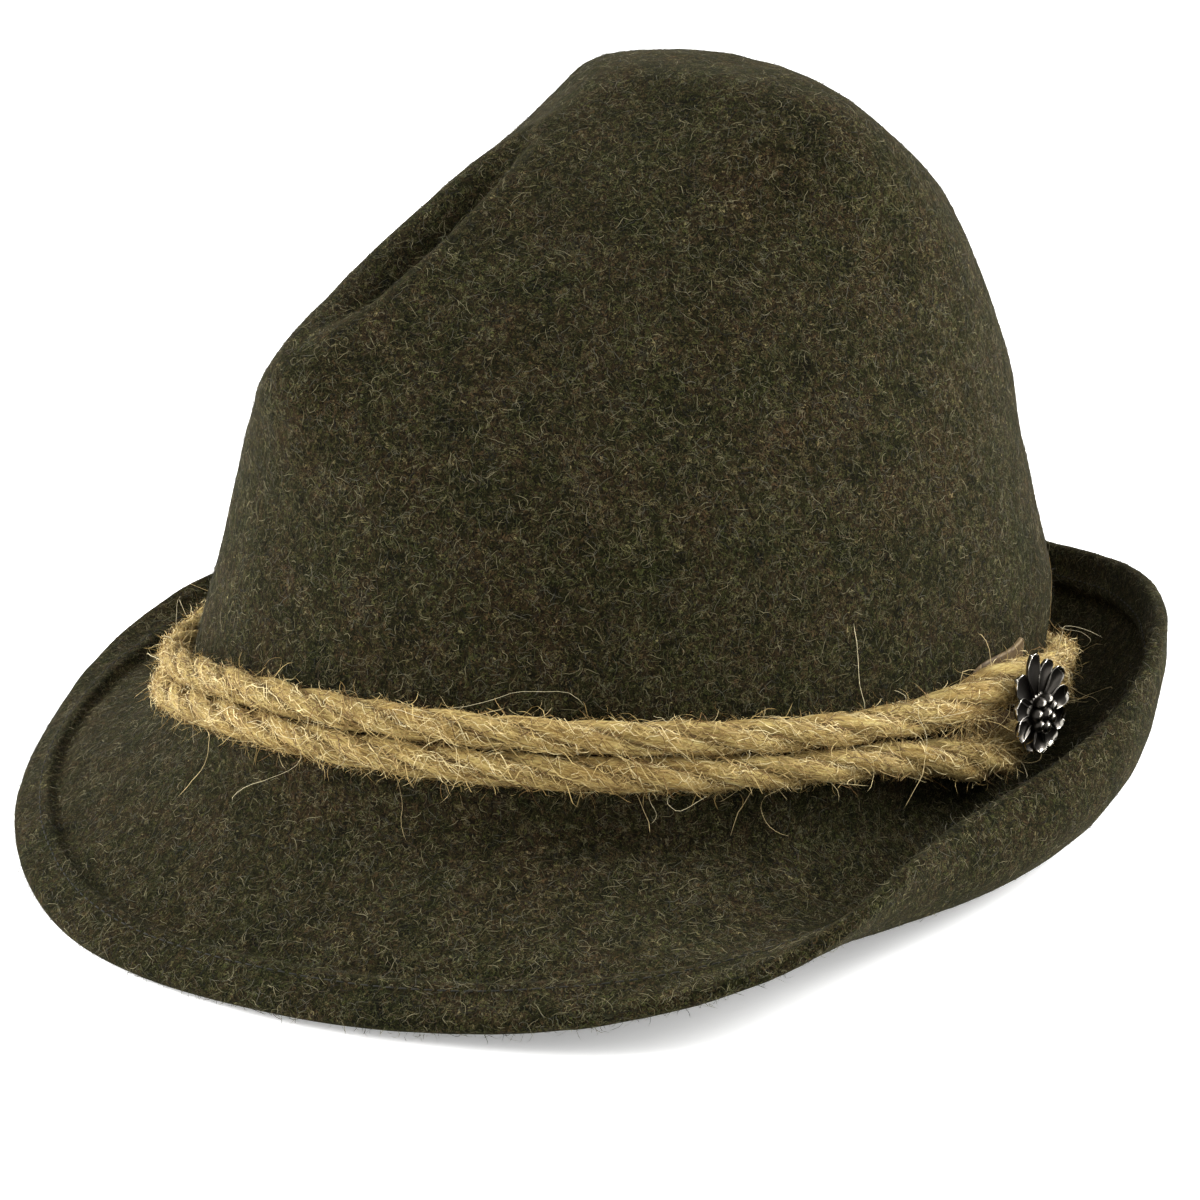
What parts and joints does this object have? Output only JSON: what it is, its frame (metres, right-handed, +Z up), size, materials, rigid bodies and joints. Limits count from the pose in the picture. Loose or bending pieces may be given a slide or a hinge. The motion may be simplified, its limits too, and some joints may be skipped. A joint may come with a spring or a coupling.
{
  "type": "tyrolean hat",
  "caption": "Hollow blocked felt hat with a creased, tapering crown, a brim turned down in front and up at the sides and back, a rope band, a leather leaf and a flower pin.",
  "frame": {"origin": "middle of the underside of the hat's box, on the surface that the hat rests on", "axes": "+Z up, the hat's front at -Y and its back at +Y, the wearer's left (the side with the pin) at +X"},
  "size_m": [0.264, 0.2814, 0.1662],
  "materials": {
    "felt": "wool felt, dark olive green flecked with brown and grey, matt, with a short fuzz",
    "jute": "loosely laid jute rope, golden tan, hairy",
    "leaf_leather": "smooth dark brown leather with a lighter cut edge",
    "pin_metal": "dark oxidised silver with polished high places"
  },
  "bodies": {
    "root": {"felt_body": "felt", "rope_lower": "jute", "rope_upper": "jute", "leather_leaf": "leaf_leather", "edelweiss_pin": "pin_metal"}
  },
  "joints": []
}
